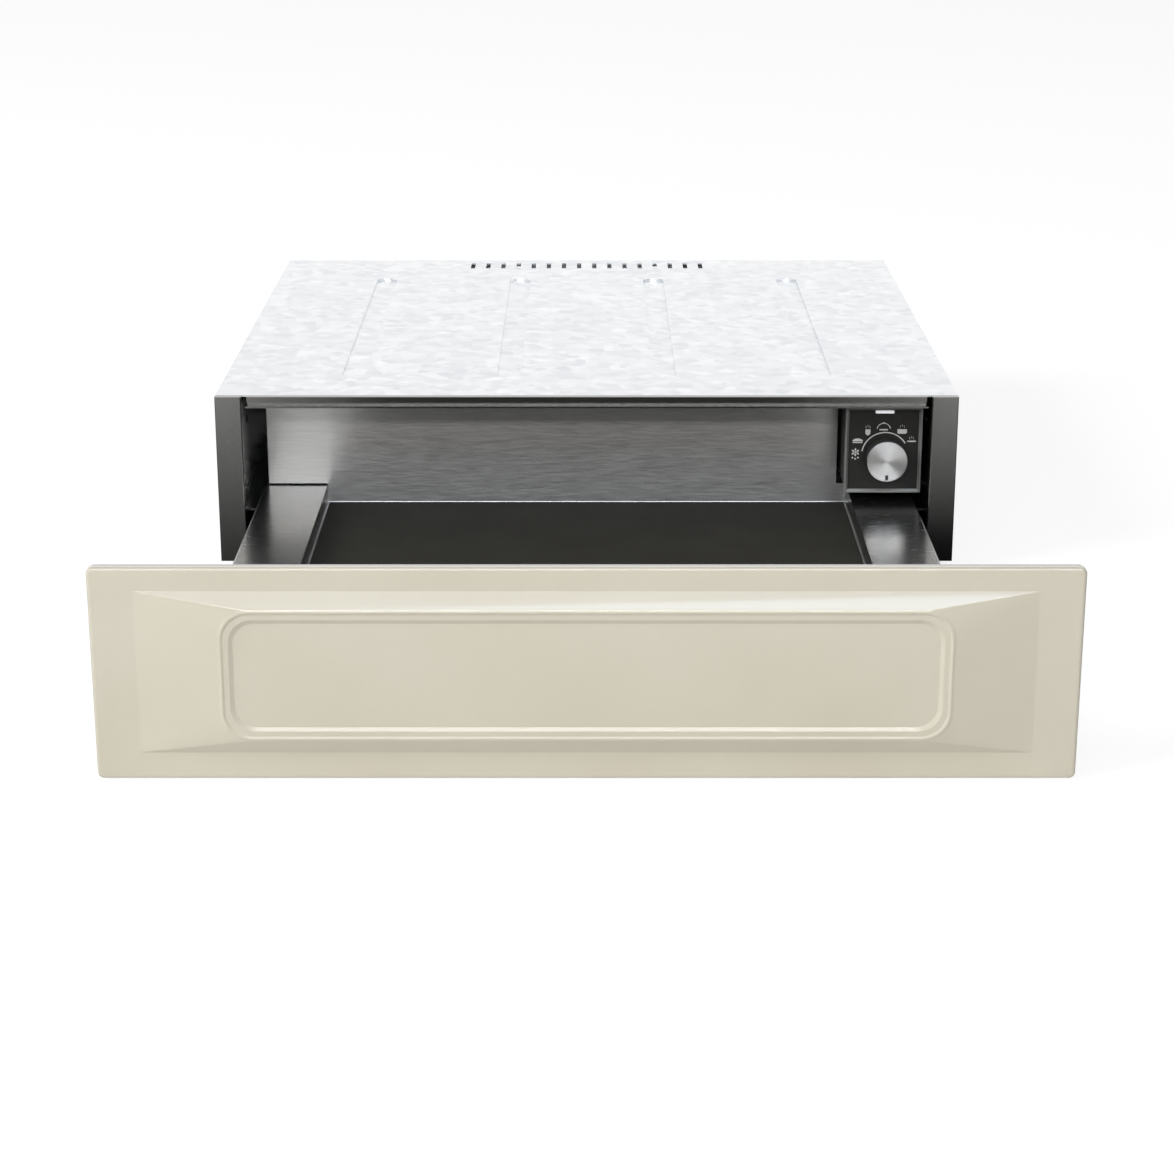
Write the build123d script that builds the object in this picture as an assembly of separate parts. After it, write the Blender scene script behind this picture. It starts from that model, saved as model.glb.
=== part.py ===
from build123d import *
import os

# Built-in warming drawer, shown open. Sizes are in millimetres.
# X runs to the right, the front faces -Y and Z is up. The origin is the middle of the base's underside.
# Moving pieces are drawn with the drawer shut, and then set out by the opening shown.

# Overall sizes
front_width = 597.0
front_height = 135.0
front_bottom = 1.0
front_thickness = 22.0
carcass_width = 556.0
carcass_depth = 530.0
carcass_top = 136.0
side_bottom = 8.0

# Sheet metal: two gauges, and the bend radius at the middle of the sheet
sheet = 1.2
thin_sheet = 1.0
sheet_bend = 1.2

# How far the drawer is out in the drawing, and the share of it that each slide member travels
opening_shown = 398.0
middle_rail_share = 0.5
outer_cage_share = 0.25
inner_cage_share = 0.75

# Planes of the carcass
half_width = carcass_width / 2
front_plane = -carcass_depth / 2
rear_plane = carcass_depth / 2
wall_inside = half_width - sheet
roof_under = carcass_top - sheet
rim_top = side_bottom + sheet
cover_start = front_plane + 6.4
side_flange = 16.0

# Front posts, and the liner that runs back from each one above the slides
post_width = 20.0
post_depth = 15.0
post_corner = 1.0
post_inside = half_width - post_width
liner_top = 131.0

# Front top rail, with heights at the middle of the sheet
rail_end = post_inside - 4.0
lip_end = post_inside - 2.6
rail_groove = front_plane + 6.0
band_bottom = 132.7
lip_middle = 128.1
rail_overlap = 14.0

# Pressed base
dish_width = 472.0
dish_depth = 464.0
dish_flare = 12.0
dish_corner = 14.0
base_bead = (380.0, 16.0, 2.4)
base_bead_places = (-150.0, -50.0, 50.0, 150.0)

# Top cover
cover_bead = (380.0, 18.0, 2.0)
cover_bead_places = (-180.0, -60.0, 60.0, 180.0)
cover_bead_middle = -10.0
cover_edge_drop = 16.0
cover_slots = 16
cover_slot_pitch = 14.0
slot_half = 2.0

# Cabinet screws through the side walls, reached through the liners, and the side air slots
cabinet_screw_radius = 2.25
access_radius = 4.0
cabinet_screw_y = front_plane + 30.0
cabinet_screw_heights = (62.0, 112.0)
side_slot = (24.0, 3.0)
side_slot_bottom = 112.0
side_slot_places = (-90.0, -60.0, 60.0, 90.0)

# Pressed enamel front: turned edge, and a raised centre with two small slopes down to its middle
panel_return = 8.0
panel_sheet = 1.5
panel_edge_round = 3.0
panel_corner_round = 4.0
relief_width = 542.0
relief_height = 102.0
relief_corner = 0.5
crest_width = 442.0
crest_height = 82.4
crest_corner = 18.0
crest_rise = 7.0
shoulder_width = 1.3
shoulder_drop = 0.5
first_slope = (1.9, 3.9, 0.93)
second_slope = (6.0, 8.3, 1.07)
panel_face = front_plane - front_thickness
panel_middle = front_bottom + front_height / 2
panel_top = front_bottom + front_height
backing_inset = 11.0
backing_rear = front_plane - 2.5
backing_corner = 5.0

# Drawer
ledge_top = 49.5
well_half_width = 202.0
ledge_half_width = 250.5
ledge_lip = 4.0
floor_top = 35.0
mat_thickness = 1.5
mat_edge_gap = 1.7
mat_rear_gap = 3.0
back_wall_face = front_plane + 66.0 + opening_shown
back_wall_top = 116.0
back_wall_left = -247.5
back_wall_right = 194.3
back_wall_fold = 4.0
back_wall_lift = 1.2
drawer_front = backing_rear + thin_sheet
lining_top = 120.0
lining_hem = 5.0
side_web = 236.2
side_channel_reach = 216.0
side_bottom_edge = 11.5

# Ball-bearing slides, measured outwards from the drawer's side web
slide_height = 36.0
slide_middle = side_bottom_edge + slide_height / 2
slide_length = 450.0
slide_start = front_plane + 7.0
slide_thickness = 13.1
rail_bend = 1.2

# Rail sections as web, turned tip, half height and lip, and cage sections as web, tip, row of balls and ball
cabinet_section = (12.5, 3.0, 17.4, 15.6)
middle_section = (9.9, 1.8, 12.6, 10.6)
drawer_section = (0.6, 7.2, 7.8, 6.2)
outer_cage_section = (11.2, 4.2, 15.0, 6.4)
inner_cage_section = (8.6, 2.8, 10.2, 5.0)
cage_sheet = 0.6
cage_length = 200.0
cage_start = front_plane + 125.0
ball_radius = 1.5
ball_play = 0.1
balls_per_row = 5
bracket_web = side_web + slide_thickness
bracket_top = 44.5
bracket_tab = 12.0

# Control
fascia_plane = front_plane + 19.0
fascia_thickness = 2.0
control_middle = 224.9
control_width = 57.8
control_bottom = 57.1
control_top = 123.7
bezel_border = 2.6
bezel_bevel = 1.6
bezel_proud = 1.2
bezel_depth = 7.0
housing_depth = 130.0
lens_x = 225.2
lens_width = 14.0
lens_height = 1.9
lens_bottom = 118.95
knob_x = 226.3
knob_z = 85.2
knob_radius = 15.4
knob_length = 16.0
knob_cap = 2.0
knob_gap = 0.7
knob_face = fascia_plane - knob_gap - knob_length
pointer_from = 10.3
pointer_to = 14.3
pointer_half = 1.1
shaft_radius = 3.0
bush_radius = 5.0
running_gap = 0.05
thermostat_half = 16.0

# Warm air unit behind the drawer
rotor_y = rear_plane - 27.0
rotor_z = 92.0
rotor_radius = 20.0
rotor_half = 84.0
rotor_blades = 16
rotor_disc = 1.2
blower_shaft_radius = 2.5
housing_end = rotor_half + 3.0
duct_roof = 129.0
motor_start = 92.0
motor_length = 30.0
motor_radius = 23.0
heater_radius = 3.2
heater_level = 44.0
heater_near = rear_plane - 48.0
heater_far = rear_plane - 22.0
reflector_level = 26.0

# Rear sheet: mains gland, push latch and drawer switch
rear_inner = rear_plane - 2 * sheet
gland_x = 236.0
gland_z = 80.0
gland_thread_radius = 8.0
gland_bore = 4.25
latch_x = -180.0
latch_z = 78.0
latch_radius = 4.0
latch_tip = back_wall_face + thin_sheet + 0.5
switch_x = 160.0
switch_radius = 1.5


def slab(x0, x1, y0, y1, z0, z1):
    # a plain block between two corners
    centre = Pos((x0 + x1) / 2, (y0 + y1) / 2, (z0 + z1) / 2)
    return centre * Box(abs(x1 - x0), abs(y1 - y0), abs(z1 - z0))


def sheet_face(points, thickness, bend):
    # the cross-section of a bent sheet whose middle line runs through the points
    if bend:
        line = FilletPolyline(*points, radius=bend)
    else:
        line = Polyline(*points)
    return trace(line, thickness)


def along_y(points, y0, y1, thickness=sheet, bend=0):
    # a bent sheet drawn along Y, with points as (x, z)
    plane = Plane((0, y0, 0), x_dir=(1, 0, 0), z_dir=(0, -1, 0))
    return extrude(plane * sheet_face(points, thickness, bend), amount=y0 - y1)


def along_x(points, x0, x1, thickness=sheet, bend=0):
    # a bent sheet drawn along X, with points as (y, z)
    plane = Plane((x0, 0, 0), x_dir=(0, 1, 0), z_dir=(1, 0, 0))
    return extrude(plane * sheet_face(points, thickness, bend), amount=x1 - x0)


def rod_y(x, z, y0, y1, radius):
    # a round rod or hole along Y
    plane = Plane((x, y0, z), x_dir=(1, 0, 0), z_dir=(0, 1, 0))
    return extrude(plane * Circle(radius), amount=y1 - y0)


def rod_x(y, z, x0, x1, radius):
    # a round rod or hole along X
    plane = Plane((x0, y, z), x_dir=(0, 1, 0), z_dir=(1, 0, 0))
    return extrude(plane * Circle(radius), amount=x1 - x0)


def on_side(part, side):
    # pieces are drawn on the right and mirrored for the left
    if side == "left":
        return mirror(part, about=Plane.YZ)
    return part


def shifted(part, share):
    # set a moving piece out by its share of the opening
    return Pos(0, -opening_shown * share, 0) * part


def group(parts):
    return Compound(children=list(parts))


# ---- carcass ----

def pressed_well(width, depth, bottom, top, corner):
    # a shallow pressed dish with sloping sides
    top_corner = corner + dish_flare / 2
    lower = Pos(0, 0, bottom) * RectangleRounded(width, depth, corner)
    upper = Pos(0, 0, top) * RectangleRounded(width + dish_flare, depth + dish_flare, top_corner)
    return loft([lower.face(), upper.face()], ruled=True)


def base_pan():
    # rim with a dish pressed down to the floor, and stiffening beads pressed up from it
    rim = slab(-wall_inside, wall_inside, front_plane + sheet, rear_plane - sheet, side_bottom, rim_top)
    dish = pressed_well(dish_width, dish_depth, 0, rim_top, dish_corner)
    inside = pressed_well(dish_width - 2 * sheet, dish_depth - 2 * sheet, sheet, rim_top + sheet,
                          dish_corner - 1.0)
    pan = rim + dish - inside
    length, width, rise = base_bead
    for y in base_bead_places:
        bead = Pos(0, y, 0) * SlotOverall(length, width)
        groove = Pos(0, y, 0) * SlotOverall(length - 2 * sheet, width - 2 * sheet)
        pan += extrude(bead, amount=rise + sheet)
        pan -= extrude(groove, amount=rise)
    return pan


def side_panel(side):
    # wall with a top flange, a front post with a rounded inner edge, and the liner that runs back from it
    wall_middle = half_width - sheet / 2
    flange_z = roof_under - sheet / 2
    flange_end = half_width - side_flange
    turned_in = post_inside + sheet
    behind = front_plane + post_depth + 1
    wall = along_y([(wall_middle, side_bottom), (wall_middle, flange_z), (flange_end, flange_z)],
                   front_plane + sheet, rear_plane, sheet, sheet_bend)
    post = slab(post_inside, half_width, front_plane, front_plane + post_depth, side_bottom, carcass_top)
    post = fillet(post.edges().filter_by(Axis.Z).group_by(Axis.Y)[0], post_corner)
    hollow = slab(turned_in, wall_inside, front_plane + sheet, behind, side_bottom - 1, roof_under)
    over_base = slab(post_inside - 1, wall_inside, front_plane + sheet, behind, side_bottom - 1, rim_top)
    set_back = slab(post_inside - 1, half_width + 1, cover_start - 0.4, behind, liner_top, carcass_top + 1)
    liner = slab(post_inside, turned_in, front_plane + post_depth, slide_start + slide_length, bracket_top,
                 liner_top)
    panel = post - hollow - over_base - set_back + wall + liner
    for z in cabinet_screw_heights:
        panel -= rod_x(cabinet_screw_y, z, post_inside - 1, turned_in + 1, access_radius)
        panel -= rod_x(cabinet_screw_y, z, wall_inside - 1, half_width + 1, cabinet_screw_radius)
    length, height = side_slot
    for y in side_slot_places:
        panel -= slab(wall_inside - 1, half_width + 1, y - length / 2, y + length / 2, side_slot_bottom,
                      side_slot_bottom + height)
    return on_side(panel, side)


def top_cover():
    # flat lid with beads pressed down, air slots at the rear and a turned-down rear edge
    edge_half = half_width - side_flange - 1.0
    lid = slab(-half_width, half_width, cover_start, rear_plane, roof_under, carcass_top)
    cover = lid + slab(-edge_half, edge_half, rear_plane - sheet, rear_plane, carcass_top - cover_edge_drop,
                       carcass_top)
    length, width, depth = cover_bead
    for x in cover_bead_places:
        bead = Pos(x, cover_bead_middle, carcass_top) * Rot(0, 0, 90) * SlotOverall(length, width)
        ridge = Pos(x, cover_bead_middle, roof_under) * Rot(0, 0, 90) * SlotOverall(length + 2 * sheet,
                                                                                    width + 2 * sheet)
        cover += extrude(ridge, amount=-depth)
        cover -= extrude(bead, amount=-depth)
    for i in range(cover_slots):
        x = (i - (cover_slots - 1) / 2) * cover_slot_pitch
        cover -= slab(x - slot_half, x + slot_half, rear_plane - 38.0, rear_plane - 14.0, roof_under - 1,
                      carcass_top + 1)
    return cover


def rear_panel():
    # back sheet with a foot, two groups of air slots and the mains inlet hole
    outer = rear_plane - sheet
    half = wall_inside - sheet / 2
    foot_reach = 14.0
    slots_in_group = 9
    slot_pitch = 11.0
    panel = slab(-half, half, rear_inner, outer, rim_top, roof_under - sheet)
    panel += slab(-half, half, rear_inner - foot_reach, rear_inner, rim_top, rim_top + sheet)
    for middle in (-150.0, 60.0):
        for i in range(slots_in_group):
            x = middle + (i - (slots_in_group - 1) / 2) * slot_pitch
            panel -= slab(x - slot_half, x + slot_half, rear_inner - 1, outer + 1, 30.0, 60.0)
    return panel - rod_y(gland_x, gland_z, rear_inner - 1, outer + 1, gland_thread_radius + 0.3)


def front_top_rail():
    # rolled rail: flange under the lid, joggle up to the front band, shadow groove and a forward lip
    band_y = front_plane + sheet
    lip_front = front_plane + 0.4
    joggle = cover_start - 1.0
    top = carcass_top - sheet / 2
    under_lid = roof_under - sheet / 2
    flange = [(cover_start + rail_overlap, under_lid), (joggle, under_lid), (joggle, top)]
    band = [(band_y, top), (band_y, band_bottom)]
    groove = [(rail_groove, band_bottom), (rail_groove, lip_middle), (lip_front, lip_middle)]
    section = flange + band + groove
    rail = along_x(section, -rail_end, rail_end)
    for end in (-1, 1):
        rail += slab(end * rail_end, end * lip_end, lip_front, rail_groove, lip_middle - sheet / 2,
                     lip_middle + sheet / 2)
    return rail


# ---- ball-bearing slides ----

def rail_section(web, tip, flange, lip):
    # a C whose turned tips keep the balls in
    return [(tip, lip), (tip, flange), (web, flange), (web, -flange), (tip, -flange), (tip, -lip)]


def slide_piece(points, start, length, thickness, bend, side):
    placed = [(side_web + u, slide_middle + w) for u, w in points]
    return on_side(along_y(placed, start, start + length, thickness, bend), side)


def rail(section, side):
    return slide_piece(rail_section(*section), slide_start, slide_length, sheet, rail_bend, side)


def cabinet_rail(side):
    return rail(cabinet_section, side)


def middle_rail(side):
    return rail(middle_section, side)


def drawer_rail(side):
    return rail(drawer_section, side)


def ball_cage(web, tip, row, ball_u, side):
    # a thin C that runs between two rails, with a row of balls in its pockets above and below
    cage = slide_piece([(tip, row), (web, row), (web, -row), (tip, -row)], cage_start, cage_length,
                       cage_sheet, cage_sheet, "right")
    pitch = cage_length / balls_per_row
    balls = []
    for height in (row, -row):
        for i in range(balls_per_row):
            place = Pos(side_web + ball_u, cage_start + (i + 0.5) * pitch, slide_middle + height)
            cage -= place * Cylinder(ball_radius + ball_play, 4 * cage_sheet)
            balls.append(place * Sphere(ball_radius))
    return on_side(group([cage] + balls), side)


def outer_ball_cage(side):
    return ball_cage(*outer_cage_section, side)


def inner_ball_cage(side):
    return ball_cage(*inner_cage_section, side)


def rail_bracket(side):
    # channel that carries the cabinet rail off the base and the side wall, lightened by a row of holes
    web = bracket_web + sheet / 2
    foot = rim_top + sheet / 2
    head = bracket_top - sheet / 2
    wall_tab = wall_inside - sheet / 2
    holes = 5
    hole_pitch = 85.0
    channel = along_y([(wall_inside, foot), (web, foot), (web, head), (wall_tab, head),
                       (wall_tab, head + bracket_tab)],
                      slide_start + 10.0, slide_start + slide_length, sheet, sheet_bend)
    for i in range(holes):
        y = slide_start + 60.0 + i * hole_pitch
        channel -= rod_x(y, slide_middle, bracket_web - 1, bracket_web + sheet + 1, 7.0)
    return on_side(channel, side)


# ---- drawer ----

def relief_outline(inset, forward, back_shift, size=(crest_width, crest_height), corner=crest_corner):
    # a rounded rectangle round the panel's middle, set forward of its face
    plane = Plane((0, panel_face - forward + back_shift, panel_middle), x_dir=(1, 0, 0), z_dir=(0, -1, 0))
    width, height = size
    return (plane * RectangleRounded(width - 2 * inset, height - 2 * inset, corner - inset / 2)).face()


def enamel_relief(back_shift):
    # raised panel: flat slopes with cone-shaped corners, a narrow shoulder and two slopes down to the centre
    foot = relief_outline(0, 0, back_shift, (relief_width, relief_height), relief_corner)
    crest = relief_outline(0, crest_rise - shoulder_drop, back_shift)
    shoulder = relief_outline(shoulder_width, crest_rise, back_shift)
    relief = loft([foot, crest], ruled=True) + loft([crest, shoulder], ruled=True)
    level = crest_rise
    for outer, inner, drop in (first_slope, second_slope):
        upper = relief_outline(outer, level, back_shift)
        lower = relief_outline(inner, level - drop, back_shift)
        relief -= loft([lower, upper], ruled=True)
        level -= drop
    return relief


def front_panel():
    # enamelled steel pressing: rounded turned edge and the raised centre, hollow behind
    def tray(inset, start, depth, corner):
        plane = Plane((0, start, panel_middle), x_dir=(1, 0, 0), z_dir=(0, 1, 0))
        size = RectangleRounded(front_width - 2 * inset, front_height - 2 * inset, corner)
        return extrude(plane * size, amount=depth)

    outside = tray(0, panel_face, panel_return, panel_corner_round)
    front_edges = outside.faces().sort_by(Axis.Y)[0].edges()
    outside = fillet(front_edges, panel_edge_round)
    inside = tray(panel_sheet, panel_face + panel_sheet, panel_return, panel_corner_round - panel_sheet)
    return outside + enamel_relief(0) - inside - enamel_relief(panel_sheet)


def front_backing():
    # closing plate inside the turned edge, with a shallow box behind that meets the carcass
    plate_y = panel_face + panel_return
    gap = panel_sheet + 0.3
    plate_half = front_width / 2 - gap
    plate = slab(-plate_half, plate_half, plate_y - thin_sheet, plate_y, front_bottom + gap, panel_top - gap)
    plate = fillet(plate.edges().filter_by(Axis.Y), panel_corner_round - panel_sheet)
    box_half = front_width / 2 - backing_inset
    box_bottom = front_bottom + backing_inset
    box_top = panel_top - backing_inset
    box = slab(-box_half, box_half, plate_y, backing_rear, box_bottom, box_top)
    box = fillet(box.edges().filter_by(Axis.Y), backing_corner)
    hollow = slab(-box_half + thin_sheet, box_half - thin_sheet, plate_y - 2, backing_rear - thin_sheet,
                  box_bottom + thin_sheet, box_top - thin_sheet)
    return plate + box - hollow


def inner_front():
    # steel lining that forms the front wall of the drawer, with its top edge folded over
    half = ledge_half_width
    wall = slab(-half, half, backing_rear, drawer_front, side_bottom_edge, lining_top)
    hem_bottom = lining_top - thin_sheet
    return wall + slab(-half, half, drawer_front, drawer_front + lining_hem, hem_bottom, lining_top)


def drawer_tray():
    # shallow well: floor with low walls, its rear wall behind the drawer's back
    wall_top = ledge_top - thin_sheet
    outer = well_half_width + thin_sheet
    tray_back = back_wall_face + 2 * thin_sheet
    tray = slab(-outer, outer, drawer_front, tray_back, floor_top - thin_sheet, wall_top)
    return tray - slab(-well_half_width, well_half_width, drawer_front + thin_sheet, tray_back - thin_sheet,
                       floor_top, wall_top + 1)


def side_ledge(side):
    # flat shelf beside the well, with its outer edge turned down
    top = ledge_top - thin_sheet / 2
    outer = ledge_half_width - thin_sheet / 2
    ledge = along_y([(well_half_width, top), (outer, top), (outer, ledge_top - ledge_lip)],
                    drawer_front, back_wall_face + thin_sheet, thin_sheet, thin_sheet)
    return on_side(ledge, side)


def drawer_side(side):
    # channel below the ledge that carries the drawer rail
    web = side_web - sheet / 2
    head = ledge_top - thin_sheet - sheet / 2
    foot = side_bottom_edge + sheet / 2
    channel = along_y([(side_channel_reach, head), (web, head), (web, foot), (side_channel_reach, foot)],
                      drawer_front, back_wall_face + thin_sheet, sheet, sheet_bend)
    return on_side(channel, side)


def drawer_back_wall():
    # brushed sheet with a coved foot in the well, clear of the ledges, and folded back at its top and ends
    face = back_wall_face
    rear = face + thin_sheet
    foot = ledge_top + back_wall_lift
    folded = rear + back_wall_fold
    cove = mat_thickness
    half = well_half_width
    wall = slab(back_wall_left, back_wall_right, face, rear, foot, back_wall_top)
    wall += slab(-half, half, face, rear, floor_top, foot)
    wall += slab(back_wall_left, back_wall_right, face, folded, back_wall_top - thin_sheet, back_wall_top)
    for x in (back_wall_left, back_wall_right - thin_sheet):
        wall += slab(x, x + thin_sheet, face, folded, foot, back_wall_top)
    corner = slab(-half, half, face - cove, face, floor_top, floor_top + cove)
    return wall + corner - rod_x(face - cove, floor_top + cove, -half - 1, half + 1, cove)


def anti_slip_mat():
    length = back_wall_face - mat_rear_gap - drawer_front - 2 * thin_sheet
    middle = drawer_front + 2 * thin_sheet + length / 2
    plan = RectangleRounded(2 * (well_half_width - mat_edge_gap), length, 2.0)
    return extrude(Pos(0, middle, floor_top) * plan, amount=mat_thickness)


def front_bumpers():
    # four rubber pads that meet the posts when the drawer shuts
    pads = []
    for x in (-half_width + post_width / 2, half_width - post_width / 2):
        for z in (32.0, 108.0):
            pad = rod_y(x, z, backing_rear, backing_rear + 2.0, 4.5)
            pads.append(chamfer(pad.faces().sort_by(Axis.Y)[-1].edges(), 0.8))
    return group(pads)


# ---- control ----

def control_bezel():
    # frame round the fascia, bevelled back from its rim to the fascia
    height = control_top - control_bottom
    plane = Plane((control_middle, fascia_plane - bezel_proud, (control_bottom + control_top) / 2),
                  x_dir=(1, 0, 0), z_dir=(0, 1, 0))

    def opening(border):
        return Rectangle(control_width - 2 * border, height - 2 * border)

    outer = extrude(plane * Rectangle(control_width, height), amount=bezel_depth)
    hole = extrude(plane * opening(bezel_border), amount=bezel_depth)
    wide = plane * opening(bezel_border - bezel_bevel)
    narrow = plane.offset(bezel_proud) * opening(bezel_border)
    return outer - hole - loft([wide.face(), narrow.face()], ruled=True)


def control_fascia():
    # dark plate that fills the bezel, with a notch for the lens and a hole for the thermostat's bush
    inset = bezel_border + 0.15
    lens_gap = 0.1
    half = control_width / 2 - inset
    rear = fascia_plane + fascia_thickness
    plate = slab(control_middle - half, control_middle + half, fascia_plane, rear, control_bottom + inset,
                 control_top - inset)
    plate -= rod_y(knob_x, knob_z, fascia_plane - 1, rear + 1, bush_radius + 0.3)
    lens_half = lens_width / 2 + lens_gap
    return plate - slab(lens_x - lens_half, lens_x + lens_half, fascia_plane - 1, rear + 1,
                        lens_bottom - lens_gap, control_top)


def indicator_lens():
    lens = slab(lens_x - lens_width / 2, lens_x + lens_width / 2, fascia_plane - 0.5, fascia_plane + 4.0,
                lens_bottom, lens_bottom + lens_height)
    return fillet(lens.edges().filter_by(Axis.Y), 0.6)


def indicator_lamp():
    half = 5.0
    front = fascia_plane + 6.0
    middle = lens_bottom + lens_height / 2
    body = slab(lens_x - half, lens_x + half, front, front + 8.0, middle - half, middle + half)
    return body + rod_y(lens_x, middle, front - 1.8, front, 1.0)


def control_housing():
    # sheet box that hangs from the roof behind the fascia, open at the front
    wall = thin_sheet
    left = control_middle - control_width / 2 + sheet
    right = control_middle + control_width / 2 - sheet
    front = fascia_plane - bezel_proud + bezel_depth
    rear = fascia_plane + housing_depth
    bottom = control_bottom + wall
    box = slab(left, right, front, rear, bottom, roof_under)
    return box - slab(left + wall, right - wall, front - 1, rear - wall, bottom + wall, roof_under - wall)


def thermostat_body():
    # rotary thermostat with its threaded bush through the fascia, and two tags behind
    front = fascia_plane + 3.0
    rear = fascia_plane + 25.0
    body = slab(knob_x - thermostat_half, knob_x + thermostat_half, front, rear, knob_z - thermostat_half,
                knob_z + thermostat_half)
    body = chamfer(body.edges().filter_by(Axis.Y), 4.0)
    body += rod_y(knob_x, knob_z, fascia_plane - 3.0, front, bush_radius)
    for x in (knob_x - 9.0, knob_x + 9.0):
        body += slab(x - 3.0, x + 3.0, rear, rear + 8.0, knob_z - 0.4, knob_z + 0.4)
    return body - rod_y(knob_x, knob_z, fascia_plane - 4.0, fascia_plane + 20.0, shaft_radius + running_gap)


def knob_skirt():
    # dark grip with a hollow back that clears the bush
    front = knob_face + knob_cap
    rear = fascia_plane - knob_gap
    skirt = rod_y(knob_x, knob_z, front, rear, knob_radius - 0.4)
    skirt = fillet(skirt.faces().sort_by(Axis.Y)[-1].edges(), 0.8)
    skirt -= rod_y(knob_x, knob_z, rear - 5.0, rear + 1.0, bush_radius + 2.0)
    return skirt - rod_y(knob_x, knob_z, front + 3.0, rear, shaft_radius)


def knob_cap_disc():
    # spun aluminium face with the pointer slot cut through near its rim
    rear = knob_face + knob_cap
    disc = rod_y(knob_x, knob_z, knob_face, rear, knob_radius)
    disc = chamfer(disc.faces().sort_by(Axis.Y)[0].edges(), 0.4)
    return disc - slab(knob_x - pointer_half, knob_x + pointer_half, knob_face - 1, rear + 1,
                       knob_z - pointer_to, knob_z - pointer_from)


def knob_shaft():
    # D-shaped spindle held in the knob
    shaft = rod_y(knob_x, knob_z, knob_face + knob_cap + 3.0, fascia_plane + 18.0, shaft_radius)
    flat = slab(knob_x - 4, knob_x + 4, knob_face, fascia_plane - 4.0, knob_z + 2.2, knob_z + 4)
    return shaft - flat


# ---- warm air unit and electrics ----

def blower_housing():
    # scroll sheet and tongue between two end plates, blowing forward over the drawer's back
    outlet = rear_plane - 56.0
    scroll_back = rear_plane - 5.0
    scroll_path = [(outlet, duct_roof), (rotor_y + 8.0, duct_roof), (scroll_back, 108.0), (scroll_back, 88.0),
                   (rotor_y + 12.0, 68.0), (rotor_y, 66.0)]
    tongue_path = [(outlet, 114.5), (rotor_y - 18.0, 114.5), (rotor_y - 22.5, 106.0)]
    housing = along_x(scroll_path, -housing_end, housing_end, thin_sheet, 5.0)
    housing += along_x(tongue_path, -housing_end, housing_end, thin_sheet, 3.0)
    outline = scroll_path + [(rotor_y - 24.0, 66.0)] + tongue_path[::-1]
    for x in (-housing_end - thin_sheet, housing_end):
        plane = Plane((x, 0, 0), x_dir=(0, 1, 0), z_dir=(1, 0, 0))
        plate = extrude(plane * make_face(Polyline(*outline, close=True)), amount=thin_sheet)
        housing += plate - rod_x(rotor_y, rotor_z, x - 1, x + thin_sheet + 1, 6.0)
    for x in (-60.0, 60.0):
        housing += slab(x - 8.0, x + 8.0, rotor_y - 4.0, rotor_y + 4.0, duct_roof, roof_under)
    return housing


def blower_rotor():
    # curved blades between three discs
    plane = Plane((-rotor_half, rotor_y, rotor_z), x_dir=(0, 1, 0), z_dir=(1, 0, 0))
    blade = trace(RadiusArc((rotor_radius - 4.2, -1.2), (rotor_radius - 0.4, 1.2), 4.0), 0.8)
    blades = [Rot(0, 0, 360.0 * i / rotor_blades) * blade for i in range(rotor_blades)]
    rotor = extrude(plane * Sketch(children=blades), amount=2 * rotor_half)
    for x in (-rotor_half, -rotor_disc / 2, rotor_half - rotor_disc):
        rotor += rod_x(rotor_y, rotor_z, x, x + rotor_disc, rotor_radius)
    return rotor - rod_x(rotor_y, rotor_z, -rotor_half - 1, rotor_half + 1, blower_shaft_radius)


def blower_shaft():
    return rod_x(rotor_y, rotor_z, -rotor_half - 6.0, motor_start + 20.0, blower_shaft_radius)


def blower_motor():
    body = rod_x(rotor_y, rotor_z, motor_start, motor_start + motor_length, motor_radius)
    body = fillet(body.edges().filter_by(GeomType.CIRCLE), 2.0)
    ear = slab(motor_start + 2.0, motor_start + 6.0, rotor_y - 4.0, rotor_y + 4.0, rotor_z, roof_under)
    return body + ear - rod_x(rotor_y, rotor_z, motor_start - 1, motor_start + 22.0,
                              blower_shaft_radius + running_gap)


def heater_element():
    # tubular element bent into a hairpin, with thicker cold ends
    bend = (heater_far - heater_near) / 2 - 0.1
    path = FilletPolyline((170.0, heater_near, heater_level), (-170.0, heater_near, heater_level),
                          (-170.0, heater_far, heater_level), (170.0, heater_far, heater_level), radius=bend)
    tube = sweep(Plane(path @ 0, z_dir=path % 0) * Circle(heater_radius), path=path)
    for y in (heater_near, heater_far):
        tube += rod_x(y, heater_level, 150.0, 178.0, heater_radius + 0.8)
    return tube


def heater_tray():
    # reflector under the element, with upturned edges, four posts and two carrying brackets
    near = rear_plane - 57.0
    far = rear_plane - 12.0
    half = 190.0
    level = reflector_level
    edge_top = level + 8.0
    tray = along_x([(near, edge_top), (near + 3.0, level), (far - 3.0, level), (far, edge_top)],
                   -half, half, thin_sheet)
    for x in (-150.0, 130.0):
        for y in (heater_near, heater_far):
            tray += slab(x - 3.0, x + 3.0, y - 1.5, y + 1.5, level, heater_level - heater_radius)
        tray += slab(x - 10.0, x + 10.0, near + 8.0, far - 8.0, rim_top, level)
    return tray


def thermal_cutout():
    # disc cutout screwed under the reflector
    place = Pos(0, (heater_near + heater_far) / 2, 0)
    disc = extrude(place * Pos(0, 0, 17.5) * Circle(8.0), amount=8.0)
    flange = extrude(place * Pos(0, 0, 24.3) * SlotOverall(30.0, 10.0), amount=thin_sheet)
    return disc + flange


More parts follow.
